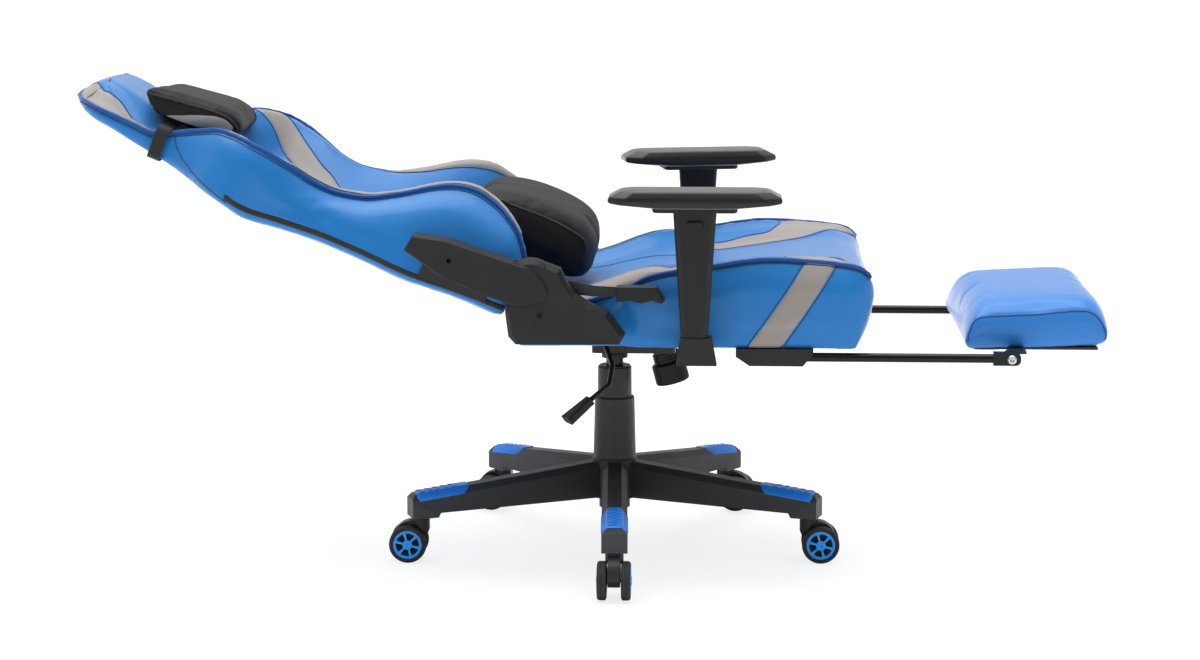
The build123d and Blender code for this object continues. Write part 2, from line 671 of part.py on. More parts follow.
pad_axis = Axis((arm_x, arm_y, 0), (0, 0, 1))
for piece, name in (
    (arm_sleeve, "arm_sleeve_left"), (arm_button, "arm_button_left"),
    (pad_carrier, "pad_carrier_left"), (arm_pad, "arm_pad_left"),
):
    with BuildPart() as left_piece:
        mirror(piece.part, about=Plane.XZ)
    if name in ("pad_carrier_left", "arm_pad_left"):
        left_piece.part = left_piece.part.rotate(pad_axis, left_pad_angle)
    save(left_piece, name)

# ================================================================ footrest
fitting_start, fitting_end = footrest_x - 28, footrest_x + 14
bolt_radius = 5.0
with BuildPart() as footrest_rails:
    for flank in (-1, 1):
        with Locations((205, flank * rail_y, rail_z)):
            Cylinder(rail_radius, fitting_start - 205, rotation=(0, 90, 0), align=MIN_Z)
        with Locations(((fitting_start + fitting_end) / 2, flank * rail_y, rail_z)):
            Box(fitting_end - fitting_start, 15, 20)
    fillet(footrest_rails.edges().filter_by(Axis.Y).group_by(Axis.X)[-1], 8)
    with Locations((footrest_x, 0, rail_z)):
        Cylinder(bolt_radius, 600, rotation=(90, 0, 0), mode=Mode.SUBTRACT)
save(footrest_rails, "footrest_rails")

with BuildPart() as footrest_bolt:
    with Locations((footrest_x, -rail_y - 7.5, rail_z)):
        Cylinder(bolt_radius, 38, rotation=(-90, 0, 0), align=MIN_Z)
        Cylinder(7, 4, rotation=(90, 0, 0), align=MIN_Z)
with BuildPart() as footrest_pivots:
    add(footrest_bolt.part)
    mirror(footrest_bolt.part, about=Plane.XZ)
save(footrest_pivots, "footrest_pivots")

board_low, board_thickness = 361.0, 4.0
with BuildPart() as footrest_bracket:  # steel plate inside the pad, with an eye at each side
    with BuildSketch(Plane.XY.offset(board_low)):
        with Locations((657, 0)):
            Rectangle(190, 360)
        with Locations((footrest_x + 12, 0)):
            Rectangle(24, 2 * 222)
    extrude(amount=board_thickness)
    for flank in (-1, 1):
        with Locations((footrest_x, flank * 213, rail_z)):
            Cylinder(10, 18, rotation=(90, 0, 0))
            Cylinder(bolt_radius + 0.05, 30, rotation=(90, 0, 0), mode=Mode.SUBTRACT)
save(footrest_bracket, "footrest_bracket")

with BuildPart() as footrest_pad:
    with BuildSketch(side):
        with BuildLine():
            Polyline((552, 358), (548, 392))
            Spline((548, 392), (566, 420), (640, 438), (710, 442), (752, 428), (771, 394), (764, 368))
            Polyline((764, 368), (552, 358))
        make_face()
    extrude(amount=pad_half_width, both=True)
    fillet(footrest_pad.edges().filter_by(lambda e: e.geom_type == GeomType.BSPLINE), 14)
    add(footrest_bracket.part, mode=Mode.SUBTRACT)
save(footrest_pad, "footrest_pad")
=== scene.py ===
import json
import math

import bmesh
import bpy
import numpy as np
from mathutils import Matrix, Vector
from mathutils.bvhtree import BVHTree


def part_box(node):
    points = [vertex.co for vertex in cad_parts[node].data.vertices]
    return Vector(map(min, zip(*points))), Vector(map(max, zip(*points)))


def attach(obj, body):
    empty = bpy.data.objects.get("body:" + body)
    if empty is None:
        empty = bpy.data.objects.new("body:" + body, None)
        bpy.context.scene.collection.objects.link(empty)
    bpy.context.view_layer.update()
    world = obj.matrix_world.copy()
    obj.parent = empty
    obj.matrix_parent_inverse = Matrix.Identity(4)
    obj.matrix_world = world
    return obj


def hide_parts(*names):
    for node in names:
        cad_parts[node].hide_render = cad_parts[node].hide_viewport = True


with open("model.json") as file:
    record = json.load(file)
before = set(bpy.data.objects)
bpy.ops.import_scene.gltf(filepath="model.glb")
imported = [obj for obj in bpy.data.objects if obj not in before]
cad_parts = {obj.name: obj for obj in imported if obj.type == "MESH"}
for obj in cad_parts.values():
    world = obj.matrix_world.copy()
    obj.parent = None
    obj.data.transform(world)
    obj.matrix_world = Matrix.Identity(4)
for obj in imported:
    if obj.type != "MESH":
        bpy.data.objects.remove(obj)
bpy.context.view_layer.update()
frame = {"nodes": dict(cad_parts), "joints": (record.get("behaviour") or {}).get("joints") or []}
nodes = frame["nodes"]

# ---------------------------------------------------------------- places, from the frame, in metres
JOINTS = {joint["name"]: joint for joint in frame["joints"]}
HINGE = Vector(JOINTS["back_recline"]["pos_m"])
RECLINE = math.radians(22)
BACK_U = Vector((-math.cos(RECLINE), 0, math.sin(RECLINE)))
BACK_V = Vector((math.sin(RECLINE), 0, math.cos(RECLINE)))
SIDES = (("right", -1), ("left", 1))
UP = Vector((0, 0, 1))
seat_low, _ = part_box("seat_cushion")


def back_point(u, y, v):
    """A point u up the back from its hinge, y to the left and v out of its face."""
    return HINGE + BACK_U * u + BACK_V * v + Vector((0, y, 0))


# ---------------------------------------------------------------- materials
def new_material(name, color, roughness, metallic=0.0, coat=0.0, sheen=0.0, specular=0.5):
    """A Principled material, returned with its node tree and its shader."""
    material = bpy.data.materials.new(name)
    material.use_nodes = True
    tree = material.node_tree
    shader = tree.nodes["Principled BSDF"]
    shader.inputs["Base Color"].default_value = (*color, 1)
    shader.inputs["Roughness"].default_value = roughness
    shader.inputs["Metallic"].default_value = metallic
    shader.inputs["Coat Weight"].default_value = coat
    shader.inputs["Sheen Weight"].default_value = sheen
    shader.inputs["Sheen Roughness"].default_value = 0.4
    shader.inputs["Specular IOR Level"].default_value = specular
    return material, tree, shader


def add_node(tree, kind, inputs=None, **settings):
    """A node of that kind with its settings and its input values or links."""
    node = tree.nodes.new(kind)
    for key, value in settings.items():
        setattr(node, key, value)
    for key, value in (inputs or {}).items():
        if isinstance(value, bpy.types.NodeSocket):
            tree.links.new(value, node.inputs[key])
        else:
            node.inputs[key].default_value = value
    return node


def varied_color(tree, shader, coords, color, scale, amount, fine_scale=0.0, fine_amount=0.0):
    """Base colour that drifts a little darker and lighter over the surface."""
    noise = add_node(tree, "ShaderNodeTexNoise", {"Vector": coords, "Scale": scale, "Detail": 4.0})
    dark = tuple(c * (1 - amount) for c in color)
    light = tuple(min(1.0, c * (1 + amount)) for c in color)
    mix = add_node(
        tree, "ShaderNodeMix", {"Factor": noise.outputs["Fac"]}, data_type="RGBA", clamp_factor=True
    )
    mix.inputs["A"].default_value = (*dark, 1)
    mix.inputs["B"].default_value = (*light, 1)
    result = mix.outputs["Result"]
    if fine_amount:
        fine = add_node(tree, "ShaderNodeTexNoise", {"Vector": coords, "Scale": fine_scale, "Detail": 3.0})
        grain = add_node(
            tree, "ShaderNodeMapRange",
            {"Value": fine.outputs["Fac"], "To Min": 1 - fine_amount, "To Max": 1 + fine_amount},
        )
        hue = add_node(tree, "ShaderNodeHueSaturation", {"Color": result, "Value": grain.outputs["Result"]})
        result = hue.outputs["Color"]
    tree.links.new(result, shader.inputs["Base Color"])


def varied_roughness(tree, shader, coords, scale, low, high):
    """Roughness that drifts between two values."""
    noise = add_node(tree, "ShaderNodeTexNoise", {"Vector": coords, "Scale": scale, "Detail": 5.0})
    span = add_node(
        tree, "ShaderNodeMapRange", {"Value": noise.outputs["Fac"], "To Min": low, "To Max": high}
    )
    tree.links.new(span.outputs["Result"], shader.inputs["Roughness"])


def bump_stack(tree, shader, heights):
    """Chains (height socket, strength, distance) bumps into the shader's normal."""
    normal = None
    for height, strength, distance in heights:
        inputs = {"Height": height, "Strength": strength, "Distance": distance}
        if normal:
            inputs["Normal"] = normal
        normal = add_node(tree, "ShaderNodeBump", inputs).outputs["Normal"]
    tree.links.new(normal, shader.inputs["Normal"])


def leather(name, color, roughness=0.38, grain=1100.0, crease=0.5, coat=0.12, sheen=0.45):
    """Synthetic leather: pebbled grain, soft creases and slightly polished high spots."""
    material, tree, shader = new_material(name, color, roughness, coat=coat, sheen=sheen, specular=0.22)
    coords = add_node(tree, "ShaderNodeTexCoord").outputs["Object"]
    varied_color(tree, shader, coords, color, 5.0, 0.06, 420.0, 0.06)
    varied_roughness(tree, shader, coords, 30.0, roughness - 0.06, roughness + 0.08)
    cells = add_node(tree, "ShaderNodeTexVoronoi", {"Vector": coords, "Scale": grain}, feature="SMOOTH_F1")
    pores = add_node(tree, "ShaderNodeTexNoise", {"Vector": coords, "Scale": grain * 0.6, "Detail": 3.0})
    folds = add_node(
        tree, "ShaderNodeTexNoise",
        {"Vector": coords, "Scale": 11.0, "Detail": 2.0, "Distortion": 0.8},
    )
    bump_stack(
        tree, shader,
        [(folds.outputs["Fac"], crease, 0.004), (pores.outputs["Fac"], 0.25, 0.0004),
         (cells.outputs["Distance"], 0.35, 0.0005)],
    )
    return material


def plastic(name, color, roughness=0.5, grain=1500.0, depth=0.3, sheen=0.0):
    """Moulded plastic: fine spark texture, faint flow marks and paler worn edges."""
    material, tree, shader = new_material(name, color, roughness, sheen=sheen, specular=0.35)
    coords = add_node(tree, "ShaderNodeTexCoord").outputs["Object"]
    noise = add_node(tree, "ShaderNodeTexNoise", {"Vector": coords, "Scale": 9.0, "Detail": 5.0})
    pointed = add_node(tree, "ShaderNodeNewGeometry").outputs["Pointiness"]
    wear = add_node(
        tree, "ShaderNodeMapRange",
        {"Value": pointed, "From Min": 0.52, "From Max": 0.6, "To Min": 0.0, "To Max": 0.35},
    )
    base = add_node(tree, "ShaderNodeMix", {"Factor": noise.outputs["Fac"]}, data_type="RGBA")
    base.inputs["A"].default_value = (*[c * 0.85 for c in color], 1)
    base.inputs["B"].default_value = (*[c * 1.18 for c in color], 1)
    worn = add_node(tree, "ShaderNodeMix", {"Factor": wear.outputs["Result"]}, data_type="RGBA")
    tree.links.new(base.outputs["Result"], worn.inputs["A"])
    worn.inputs["B"].default_value = (*[min(1, c * 1.9 + 0.01) for c in color], 1)
    tree.links.new(worn.outputs["Result"], shader.inputs["Base Color"])
    varied_roughness(tree, shader, coords, 26.0, roughness - 0.07, roughness + 0.09)
    spark = add_node(tree, "ShaderNodeTexNoise", {"Vector": coords, "Scale": grain, "Detail": 2.0})
    bump_stack(tree, shader, [(spark.outputs["Fac"], depth, 0.0003)])
    return material


def metal(name, color, roughness=0.3, metallic=1.0, stretch=(1.0, 1.0, 40.0)):
    """Brushed or coated metal with fine drawn lines and a few smudges."""
    material, tree, shader = new_material(name, color, roughness, metallic)
    coords = add_node(tree, "ShaderNodeTexCoord").outputs["Object"]
    mapping = add_node(tree, "ShaderNodeMapping", {"Vector": coords, "Scale": stretch})
    lines = add_node(
        tree, "ShaderNodeTexNoise", {"Vector": mapping.outputs["Vector"], "Scale": 60.0, "Detail": 4.0}
    )
    varied_color(tree, shader, coords, color, 14.0, 0.1)
    varied_roughness(tree, shader, coords, 40.0, roughness - 0.07, roughness + 0.12)
    bump_stack(tree, shader, [(lines.outputs["Fac"], 0.12, 0.0003)])
    return material


def webbing(name, color, pitch=900.0):
    """Woven webbing or sewing thread: crossed ribs with a soft sheen."""
    material, tree, shader = new_material(name, color, 0.75, sheen=0.3)
    coords = add_node(tree, "ShaderNodeTexCoord").outputs["Object"]
    warp = add_node(
        tree, "ShaderNodeTexWave", {"Vector": coords, "Scale": pitch, "Distortion": 1.5},
        bands_direction="X",
    )
    weft = add_node(
        tree, "ShaderNodeTexWave", {"Vector": coords, "Scale": pitch, "Distortion": 1.5},
        bands_direction="Z",
    )
    ribs = add_node(
        tree, "ShaderNodeMath", {0: warp.outputs["Fac"], 1: weft.outputs["Fac"]}, operation="MULTIPLY"
    )
    varied_color(tree, shader, coords, color, 60.0, 0.2, 1400.0, 0.15)
    bump_stack(tree, shader, [(ribs.outputs["Value"], 0.5, 0.0006)])
    return material


BLUE = (0.010, 0.176, 0.51)
MAT = {
    "blue": leather("leather_blue", BLUE),
    "footrest": leather("leather_blue_footrest", (0.028, 0.20, 0.60)),
    "grey": leather("leather_grey", (0.30, 0.272, 0.255), 0.45),
    "black": leather("leather_black", (0.0075, 0.0078, 0.009), 0.58, 1300.0, 0.35, 0.0, 0.02),
    "piping": leather("piping_blue", (0.004, 0.075, 0.30), 0.38, 1500.0, 0.1, 0.1, 0.1),
    # seam_shadow: dark navy cords laid along seams, in a crease and under the piping; painted shade, not a
    # real colour of the cover
    "seam": webbing("seam_shadow", (0.008, 0.03, 0.09), 1500.0),
    "thread": webbing("thread_blue", (0.04, 0.16, 0.45), 2600.0),
    "grey_thread": webbing("thread_grey", (0.45, 0.42, 0.4), 2600.0),
    "black_thread": webbing("thread_black", (0.02, 0.02, 0.022), 2600.0),
    "strap": webbing("strap_webbing", (0.013, 0.013, 0.014)),
    "liner": webbing("liner_fabric", (0.018, 0.018, 0.02), 500.0),
    "base": plastic("base_nylon", (0.029, 0.031, 0.033), 0.48),
    "cover": plastic("cover_plastic", (0.005, 0.0058, 0.0056), 0.54),
    "hood": plastic("castor_hood_plastic", (0.01, 0.0102, 0.011), 0.42),
    "tyre": plastic("tyre_rubber", (0.02, 0.02, 0.02), 0.62, 2200.0, 0.5),
    "insert": plastic("insert_blue", (0.014, 0.2, 0.74), 0.3),
    "cap": plastic("cap_blue", (0.022, 0.31, 0.98), 0.32, 1500.0, 0.15),
    "pad": plastic("armpad_polyurethane", (0.003, 0.003, 0.003), 0.4, 900.0, 0.6, 0.6),
    "steel": metal("steel_zinc", (0.6, 0.61, 0.63), 0.3),
    "black_steel": metal("steel_black", (0.018, 0.018, 0.02), 0.38, 0.4),
    "rail": metal("rail_black", (0.008, 0.008, 0.009), 0.16, 0.6, (40.0, 1.0, 1.0)),
}
NODE_LOOK = {
    "star_base": "base", "lift_cover": "base", "castor_stems": "steel", "piston_rod": "steel",
    "gas_cylinder": "black_steel",
    "release_pin": "steel", "seat_bolts": "steel", "footrest_pivots": "steel", "headrest_strap": "strap",
    "lift_column": "black_steel", "tilt_housing": "black_steel", "gas_lever_rod": "black_steel",
    "seat_plate": "black_steel", "seat_frame": "black_steel", "fixed_recliner_plates": "black_steel",
    "moving_recliner_plates": "black_steel", "recline_shaft": "black_steel",
    "arm_brackets": "black_steel", "arm_columns": "black_steel", "back_frame": "black_steel",
    "footrest_bracket": "black_steel", "footrest_rails": "rail",
}
for node_name, node in nodes.items():
    look = NODE_LOOK.get(node_name, "hood" if node_name.startswith("castor") else "cover")
    node.data.materials.clear()
    node.data.materials.append(MAT[look])


# ---------------------------------------------------------------- mesh helpers
def smooth_line(points, count):
    """count points along a Catmull-Rom curve through the given points (any dimension)."""
    pts = np.array(points, float)
    first = 2 * pts[0] - pts[1]
    last = 2 * pts[-1] - pts[-2]
    pts = np.vstack([first, pts, last])
    result = []
    spans = len(pts) - 3
    for t in np.linspace(0, spans, count):
        k = min(int(t), spans - 1)
        s = t - k
        a, b, c, d = pts[k:k + 4]
        result.append(
            0.5 * (2 * b + (c - a) * s + (2 * a - 5 * b + 4 * c - d) * s ** 2
                   + (3 * b - a - 3 * c + d) * s ** 3)
        )
    return np.array(result)


def reader(points, count=200):
    """A function of the first coordinate, smooth through the given (x, y) points."""
    line = smooth_line(points, count)
    order = np.argsort(line[:, 0])
    return lambda x: float(np.interp(x, line[order, 0], line[order, 1]))


def mesh_piece(name, vertices, faces, material, body, smooth=True):
    """A mesh object with one material that rides on a body."""
    mesh = bpy.data.meshes.new(name)
    mesh.from_pydata([tuple(v) for v in vertices], [], faces)
    mesh.validate()
    mesh.update()
    fix = bmesh.new()
    fix.from_mesh(mesh)
    bmesh.ops.recalc_face_normals(fix, faces=fix.faces)
    fix.to_mesh(mesh)
    fix.free()
    mesh.materials.append(MAT[material])
    for polygon in mesh.polygons:
        polygon.use_smooth = smooth
    piece = bpy.data.objects.new(name, mesh)
    bpy.context.scene.collection.objects.link(piece)
    if body:
        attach(piece, body)
    return piece


def loft(name, rings, material, body, closed_ends=True):
    """A closed mesh through rings of equal length."""
    size = len(rings[0])
    vertices = [p for ring in rings for p in ring]
    faces = []
    for i in range(len(rings) - 1):
        for j in range(size):
            k = (j + 1) % size
            faces.append((i * size + j, i * size + k, (i + 1) * size + k, (i + 1) * size + j))
    if closed_ends:
        for start in (0, (len(rings) - 1) * size):
            centre = len(vertices)
            vertices.append(sum((Vector(p) for p in vertices[start:start + size]), Vector()) / size)
            faces += [(start + j, start + (j + 1) % size, centre) for j in range(size)]
    return mesh_piece(name, vertices, faces, material, body)


def lathe(name, profile, axis_point, axis, material, body, steps=64):
    """A turned piece: profile is (distance along the axis, radius) points, closed on itself."""
    axis = Vector(axis).normalized()
    across = axis.orthogonal().normalized()
    other = axis.cross(across)
    rings = []
    for i in range(steps):
        angle = 2 * math.pi * i / steps
        out = across * math.cos(angle) + other * math.sin(angle)
        rings.append([Vector(axis_point) + axis * a + out * r for a, r in profile])
    rings.append(rings[0])
    piece = loft(name, rings, material, None, closed_ends=False)
    merge = bmesh.new()
    merge.from_mesh(piece.data)
    bmesh.ops.remove_doubles(merge, verts=merge.verts, dist=1e-6)
    bmesh.ops.recalc_face_normals(merge, faces=merge.faces)
    merge.to_mesh(piece.data)
    merge.free()
    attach(piece, body)
    return piece


def add_modifier(piece, kind, **settings):
    """A modifier with its settings."""
    modifier = piece.modifiers.new(kind.lower(), kind)
    for key, value in settings.items():
        setattr(modifier, key, value)
    return modifier


def bake(piece):
    """Applies every modifier to the piece's mesh."""
    graph = bpy.context.evaluated_depsgraph_get()
    baked = bpy.data.meshes.new_from_object(piece.evaluated_get(graph))
    materials = [m for m in piece.data.materials]
    piece.modifiers.clear()
    piece.data = baked
    piece.data.materials.clear()
    for material in materials:
        piece.data.materials.append(material)
    for polygon in baked.polygons:
        polygon.use_smooth = True
        polygon.material_index = 0


def simulate(piece, cap, voxel=0.006, pressure=4.0, frames=20, smoothing=4):
    """Remeshes a padded shape and inflates it as cloth; no point moves further than cap."""
    add_modifier(piece, "REMESH", mode="VOXEL", voxel_size=voxel)
    add_modifier(piece, "SMOOTH", iterations=smoothing, factor=0.5)
    bake(piece)
    rest = np.array([v.co for v in piece.data.vertices])
    cloth = add_modifier(piece, "CLOTH").settings
    cloth.use_pressure = True
    cloth.uniform_pressure_force = pressure
    cloth.effector_weights.gravity = 0
    cloth.quality = 4
    cloth.mass = 0.3
    scene = bpy.context.scene
    for number in range(1, frames + 1):
        scene.frame_set(number)
    graph = bpy.context.evaluated_depsgraph_get()
    puffed = piece.evaluated_get(graph).to_mesh()
    moved = np.array([v.co for v in puffed.vertices]) - rest
    piece.evaluated_get(graph).to_mesh_clear()
    length = np.linalg.norm(moved, axis=1, keepdims=True)
    moved *= np.minimum(1, cap / np.maximum(length, 1e-9))
    piece.modifiers.clear()
    piece.data.vertices.foreach_set("co", (rest + moved).ravel())
    piece.data.update()
    scene.frame_set(1)
    add_modifier(piece, "SMOOTH", iterations=2, factor=0.5)
    bake(piece)
    for polygon in piece.data.polygons:
        polygon.use_smooth = True


def surface_of(piece):
    """A search tree over the piece's finished surface."""
    graph = bpy.context.evaluated_depsgraph_get()
    return BVHTree.FromObject(piece, graph)


def drop(tree, point, direction, reach=0.25):
    """Where a ray through point along direction meets the surface, and its normal there."""
    direction = Vector(direction).normalized()
    hit, normal, _, _ = tree.ray_cast(Vector(point) - direction * reach, direction)
    if hit is None:
        hit, normal, _, _ = tree.find_nearest(Vector(point))
    if normal.dot(direction) > 0:
        normal = -normal
    return hit, normal


def nearest(tree, point):
    """The surface point nearest to point, and its outward normal."""
    hit, normal, _, _ = tree.find_nearest(Vector(point))
    return hit, normal


def panel(name, edge_a, edge_b, tree, direction, material, body, rows=70, columns=14, rise=0.0011):
    """A sewn panel that lies on the surface between two edge lines, its border tucked in."""
    line_a, line_b = smooth_line(edge_a, rows), smooth_line(edge_b, rows)
    vertices, faces = [], []
    for i in range(rows):
        for j in range(columns + 1):
            t = j / columns
            hit, normal = drop(tree, Vector(line_a[i] * (1 - t) + line_b[i] * t), direction)
            border = min(j, columns - j, 2) / 2
            vertices.append(hit + normal * (-0.0008 + border * (rise + 0.0008)))
    for i in range(rows - 1):
        for j in range(columns):
            a = i * (columns + 1) + j
            faces.append((a, a + 1, a + columns + 2, a + columns + 1))
    return mesh_piece(name, vertices, faces, material, body)


def tube(name, points, radius, material, body, sides=10):
    """A round cord of constant radius along the points."""
    pts = [Vector(p) for p in points]
    rings = []
    for i, point in enumerate(pts):
        ahead = pts[min(i + 1, len(pts) - 1)] - pts[max(i - 1, 0)]
        side = ahead.cross(UP)
        if side.length < 1e-9:
            side = Vector((0, 1, 0))
        side.normalize()
        over = side.cross(ahead).normalized()
        rings.append([
            point + (side * math.cos(a) + over * math.sin(a)) * radius
            for a in (2 * math.pi * k / sides for k in range(sides))
        ])
    return loft(name, rings, material, body)


def laid_line(tree, points, count, direction=None, lift=0.0):
    """Points of a smooth line dropped on, or moved to, the nearest surface, raised by lift."""
    result = []
    for p in smooth_line(points, count):
        hit, normal = drop(tree, p, direction) if direction else nearest(tree, p)
        result.append(hit + normal * lift)
    return result


def stitches(name, tree, points, material, body, pitch=0.0052, length=0.0034, radius=0.00042,
             direction=None):
    """A row of short thread stitches along a line on the surface, all one piece."""
    line = [Vector(p) for p in laid_line(tree, points, 240, direction)]
    steps = np.cumsum([0] + [(b - a).length for a, b in zip(line, line[1:])])
    vertices, faces = [], []
    for start in np.arange(pitch, steps[-1] - pitch, pitch):
        ends = []
        for distance in (start, start + length):
            k = min(int(np.searchsorted(steps, distance)), len(line) - 1)
            span = max(steps[k] - steps[k - 1], 1e-9)
            ends.append(line[k - 1].lerp(line[k], (distance - steps[k - 1]) / span))
        along = (ends[1] - ends[0]).normalized()
        hit, normal = nearest(tree, ends[0])
        side = along.cross(normal).normalized()
        first = len(vertices)
        for t, swell in ((0.0, 0.5), (0.25, 1.0), (0.75, 1.0), (1.0, 0.5)):
            centre = ends[0].lerp(ends[1], t) + normal * (0.0012 if 0 < t < 1 else 0.0006)
            for k in range(5):
                a = 2 * math.pi * k / 5
                out = side * math.cos(a) + normal * math.sin(a)
                vertices.append(centre + out * radius * swell)
        for ring in range(3):
            for k in range(5):
                a = first + ring * 5 + k
                b = first + ring * 5 + (k + 1) % 5
                faces.append((a, b, b + 5, a + 5))
    return mesh_piece(name, vertices, faces, material, body)


# ---------------------------------------------------------------- cushions
MM = 0.001


def mirrored_ring(half, count, place):
    """A closed ring: half, from the rear centre round one flank to the front centre, and its mirror."""
    line = smooth_line(half, count)
    ring = [place(-y, h) for y, h in line]
    ring += [place(y, h) for y, h in line[-2:0:-1]]
    return ring


seat_ridge = reader([
    (-145, 430), (-60, 436), (-20, 445), (30, 463), (59, 476), (103, 487), (161, 496), (205, 503),
    (241, 506), (290, 505), (347, 500), (380, 494), (392, 488), (400, 478), (405, 466), (408, 455),
])
seat_centre = reader([
    (-145, 427), (-40, 430), (20, 443), (90, 460), (160, 474), (300, 487), (375, 489), (392, 484),
    (402, 470), (408, 452),
])
seat_floor = reader([(-145, 372), (-135, 367), (355, 367), (380, 376), (396, 408), (408, 450)])
seat_flank = reader([
    (-145, 238), (10, 240), (70, 251), (330, 252), (370, 251), (385, 247), (396, 240), (403, 230), (408, 216),
])
SEAT_PIPING_Y = 236


def seat_ring(x):
    """The seat's cross-section at x millimetres."""
    ridge, centre, low, flank = seat_ridge(x) + 4, seat_centre(x), seat_floor(x), seat_flank(x)
    height = ridge - low
    edge = min(SEAT_PIPING_Y, flank - 1)
    fall = 20 * min(1, max(0, (x - 30) / 110)) - 12
    half = [
        (0, low), (flank - 30, low), (flank - 8, low + 0.03 * height), (flank, low + 0.16 * height),
        (flank + 1, low + 0.5 * height), (flank - 1, low + 0.8 * height), (edge + 3, ridge - 3),
        (edge - 2, ridge + 1), (edge - 32, ridge + 1 - fall), (edge - 70, 0.5 * ridge + 0.5 * centre),
        (edge - 104, 0.12 * ridge + 0.88 * centre), (edge - 130, centre), (50, centre), (0, centre),
    ]
    return mirrored_ring(half, 60, lambda y, z: Vector((x, y, z)) * MM)


def make_seat():
    """Blue seat with side bolsters, grey chevron bands, piping and stitching."""
    stations = list(np.linspace(-145, 370, 60)) + [378, 386, 392, 397, 401, 404, 406, 408]
    seat = loft("seat_cover", [seat_ring(x) for x in stations], "blue", None)
    simulate(seat, cap=0.0035, voxel=0.005, pressure=4.0)
    for vertex in seat.data.vertices:
        vertex.co.z = max(vertex.co.z, seat_low[2])
    seat.data.update()
    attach(seat, "seat")
    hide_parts("seat_cushion")
    tree = surface_of(seat)
    inner = [
        (-70, 198), (0, 200), (60, 209), (100, 222), (124, 175), (145, 112), (169, 76), (208, 85),
        (255, 105), (317, 135), (374, 199), (398, 226),
    ]
    outer = [
        (-70, 233), (0, 233), (60, 233), (106, 232), (130, 196), (150, 152), (169, 133), (210, 147),
        (248, 157), (265, 192), (282, 228), (384, 231),
    ]
    for side, sign in SIDES:
        band_in = [(x * MM, sign * y * MM, 0.5) for x, y in inner]
        band_out = [(x * MM, sign * y * MM, 0.5) for x, y in outer]
        panel(f"seat_band_{side}", band_in, band_out, tree, -UP, "grey", "seat")
        # Dark cords along both edges of each grey band paint the shade in its seams.
        for label, line in (("inner", band_in), ("outer", band_out)):
            seam = laid_line(tree, line, 160, -UP, 0.0002)
            tube(f"seat_band_seam_shade_{label}_{side}", seam, 0.0008, "seam", "seat", 6)
        stitches(
            f"seat_band_stitches_{side}", tree, [(x, y + sign * -0.006, z) for x, y, z in band_in],
            "thread", "seat", direction=-UP,
        )
        rear = [(297, 504), (254, 438), (210, 373)]
        front = [(348, 500), (307, 436), (266, 373)]
        inward = Vector((0, -sign, 0))
        flank_rear = [(x * MM, sign * 0.25, z * MM) for x, z in rear]
        flank_front = [(x * MM, sign * 0.25, z * MM) for x, z in front]
        panel(f"seat_flank_band_{side}", flank_rear, flank_front, tree, inward, "grey", "seat", 40)
        # Dark cords along the flank band's edges paint the shade in its seams.
        for label, line in (("rear", flank_rear), ("front", flank_front)):
            seam = laid_line(tree, line, 60, inward, 0.0002)
            tube(f"seat_flank_seam_shade_{label}_{side}", seam, 0.0008, "seam", "seat", 6)
        route = [(x, seat_ridge(x)) for x in (-60, -20, 30, 59, 103, 161, 205, 241, 290, 347, 380, 394)]
        route += [(402, 484)]
        ridge = [(x * MM, sign * SEAT_PIPING_Y * MM, z * MM) for x, z in route]
        tube(f"seat_piping_{side}", laid_line(tree, ridge, 260, None, 0.0016), 0.0034, "piping", "seat")
        # A dark cord just below and outside the piping paints the piping's shadow.
        shadow = [(x, y + sign * 0.004, z - 0.004) for x, y, z in ridge]
        path = laid_line(tree, shadow, 260, None, 0.0004)
        tube(f"seat_piping_shadow_{side}", path, 0.0012, "seam", "seat", 6)
        # A dark cord along the channel paints the shade in the crease.
        channel_line = (-60, 150), (28, 139), (70, 125), (93, 105), (120, 60)
        channel = [(x * MM, sign * y * MM, 0.5) for x, y in channel_line]
        crease = laid_line(tree, channel, 80, -UP, 0.0)
        tube(f"seat_channel_shade_{side}", crease, 0.0009, "seam", "seat", 6)
    liner_z, half_width, rear, front = 0.3703, 0.222, -0.12, 0.35
    rows, columns = 14, 12
    liner = [
        [Vector((x, y, liner_z)) for y in np.linspace(-half_width, half_width, columns)]
        for x in np.linspace(rear, front, rows)
    ]
    vertices = [p for row in liner for p in row]
    faces = [
        (i * columns + j, i * columns + j + 1, (i + 1) * columns + j + 1, (i + 1) * columns + j)
        for i in range(rows - 1) for j in range(columns - 1)
    ]
    mesh_piece("seat_liner", vertices, faces, "liner", "seat")
    return seat


back_half = reader([
    (20, 242), (100, 243), (170, 240), (250, 231), (330, 223), (400, 229), (470, 236), (520, 217),
    (560, 183), (600, 156), (650, 150), (700, 146), (730, 138), (750, 124), (765, 104), (776, 78),
    (782, 50), (785, 22),
])
back_edge = reader([
    (20, 216), (60, 198), (100, 181), (150, 173), (200, 170), (300, 169), (353, 171), (400, 187),
    (440, 208), (475, 214), (520, 190), (560, 162), (600, 148), (650, 144), (700, 139), (730, 131),
    (750, 116), (765, 96), (776, 70), (782, 42), (785, 16),
])
back_rear = reader([
    (20, -71), (100, -72), (181, -77), (258, -75), (327, -75), (395, -78), (448, -81), (487, -75),
    (541, -69), (591, -63), (629, -57), (665, -51), (702, -45), (733, -42), (762, -37), (776, -32),
    (785, -27),
])
back_ridge = reader([
    (20, 26), (43, 52), (64, 67), (86, 78), (111, 85), (133, 88), (159, 84), (183, 74), (205, 61),
    (227, 46), (255, 29), (283, 14), (308, 7), (327, 3), (348, 2), (377, 6), (404, 14), (440, 24),
    (470, 29), (493, 31), (517, 29), (539, 24), (560, 14), (582, 3), (604, -8), (618, -17), (640, -22),
    (667, -21), (700, -20), (745, -19), (770, -22), (785, -26),
])
